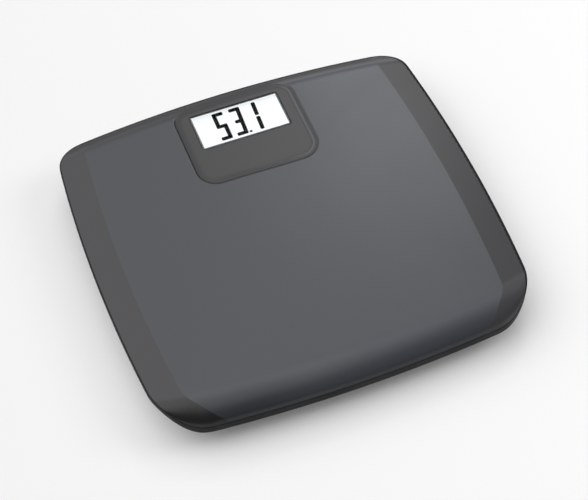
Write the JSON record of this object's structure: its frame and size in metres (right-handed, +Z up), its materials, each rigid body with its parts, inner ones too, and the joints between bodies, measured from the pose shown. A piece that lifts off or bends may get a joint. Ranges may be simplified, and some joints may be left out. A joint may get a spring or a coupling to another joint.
{
  "type": "bathroom scale",
  "caption": "Electronic bathroom scale: a moulded platform with rolled front, side facets and a grooved display pod, on load-cell feet.",
  "frame": {"origin": "on the floor under the middle of the platform", "axes": "+X to the right, +Y towards the display end, +Z up"},
  "size_m": [0.32, 0.298, 0.038],
  "materials": {
    "cover": "satin moulded grey",
    "tray": "moulded black, fine texture",
    "lens": "clear moulded window, polished",
    "lcd": "display glass with white reflector",
    "backlight": "white light guide",
    "strip": "layered connector rubber",
    "frame": "moulded white",
    "board": "green circuit board",
    "switch": "moulded black",
    "button": "moulded grey",
    "lead": "flexible insulation",
    "cup": "moulded dark grey",
    "rubber": "matte non-slip rubber",
    "steel": "stamped sheet",
    "zinc": "zinc plated",
    "nickel": "nickel plated",
    "battery": "plain wrapped cell"
  },
  "bodies": {
    "platform": {"platform_cover": "cover", "base_tray": "tray", "display_lens": "lens", "lcd_panel": "lcd", "backlight_panel": "backlight", "connector_strip": "strip", "lcd_frame": "frame", "control_board": "board", "unit_switch": "switch", "switch_board": "board", "switch_lead": "lead", "battery_1": "battery", "battery_contact_1": "nickel", "battery_spring_1": "nickel", "power_lead_1": "lead", "switch_screw_1": "zinc", "battery_2": "battery", "battery_contact_2": "nickel", "battery_spring_2": "nickel", "power_lead_2": "lead", "switch_screw_2": "zinc", "cell_lead_1": "lead", "board_screw_1": "zinc", "cell_lead_2": "lead", "board_screw_2": "zinc", "cell_lead_3": "lead", "board_screw_3": "zinc", "cell_lead_4": "lead", "board_screw_4": "zinc", "case_screw_1": "zinc", "case_screw_2": "zinc", "case_screw_3": "zinc", "case_screw_4": "zinc", "case_screw_5": "zinc", "case_screw_6": "zinc", "case_screw_7": "zinc", "case_screw_8": "zinc"},
    "unit_button": {"unit_button": "button"},
    "battery_door": {"battery_door": "tray"},
    "foot_1": {"foot_cup_1": "cup", "foot_pad_1": "rubber", "load_cell_1": "steel"},
    "foot_2": {"foot_cup_2": "cup", "foot_pad_2": "rubber", "load_cell_2": "steel"},
    "foot_3": {"foot_cup_3": "cup", "foot_pad_3": "rubber", "load_cell_3": "steel"},
    "foot_4": {"foot_cup_4": "cup", "foot_pad_4": "rubber", "load_cell_4": "steel"}
  },
  "joints": [
    {"name": "unit_button_press", "type": "slide", "parent": "platform", "child": "unit_button", "axis": [0, 0, 1], "range_m": [0, 0.0008], "stiffness_N_per_m": 300},
    {"name": "battery_door_hinge", "type": "hinge", "parent": "platform", "child": "battery_door", "pos_m": [0, 0.0239, 0.01], "axis": [-1, 0, 0], "range_deg": [0, 95]},
    {"name": "foot_1_load", "type": "slide", "parent": "platform", "child": "foot_1", "axis": [0, 0, 1], "range_m": [0, 0.0006], "stiffness_N_per_m": 20000},
    {"name": "foot_2_load", "type": "slide", "parent": "platform", "child": "foot_2", "axis": [0, 0, 1], "range_m": [0, 0.0006], "stiffness_N_per_m": 20000},
    {"name": "foot_3_load", "type": "slide", "parent": "platform", "child": "foot_3", "axis": [0, 0, 1], "range_m": [0, 0.0006], "stiffness_N_per_m": 20000},
    {"name": "foot_4_load", "type": "slide", "parent": "platform", "child": "foot_4", "axis": [0, 0, 1], "range_m": [0, 0.0006], "stiffness_N_per_m": 20000}
  ]
}
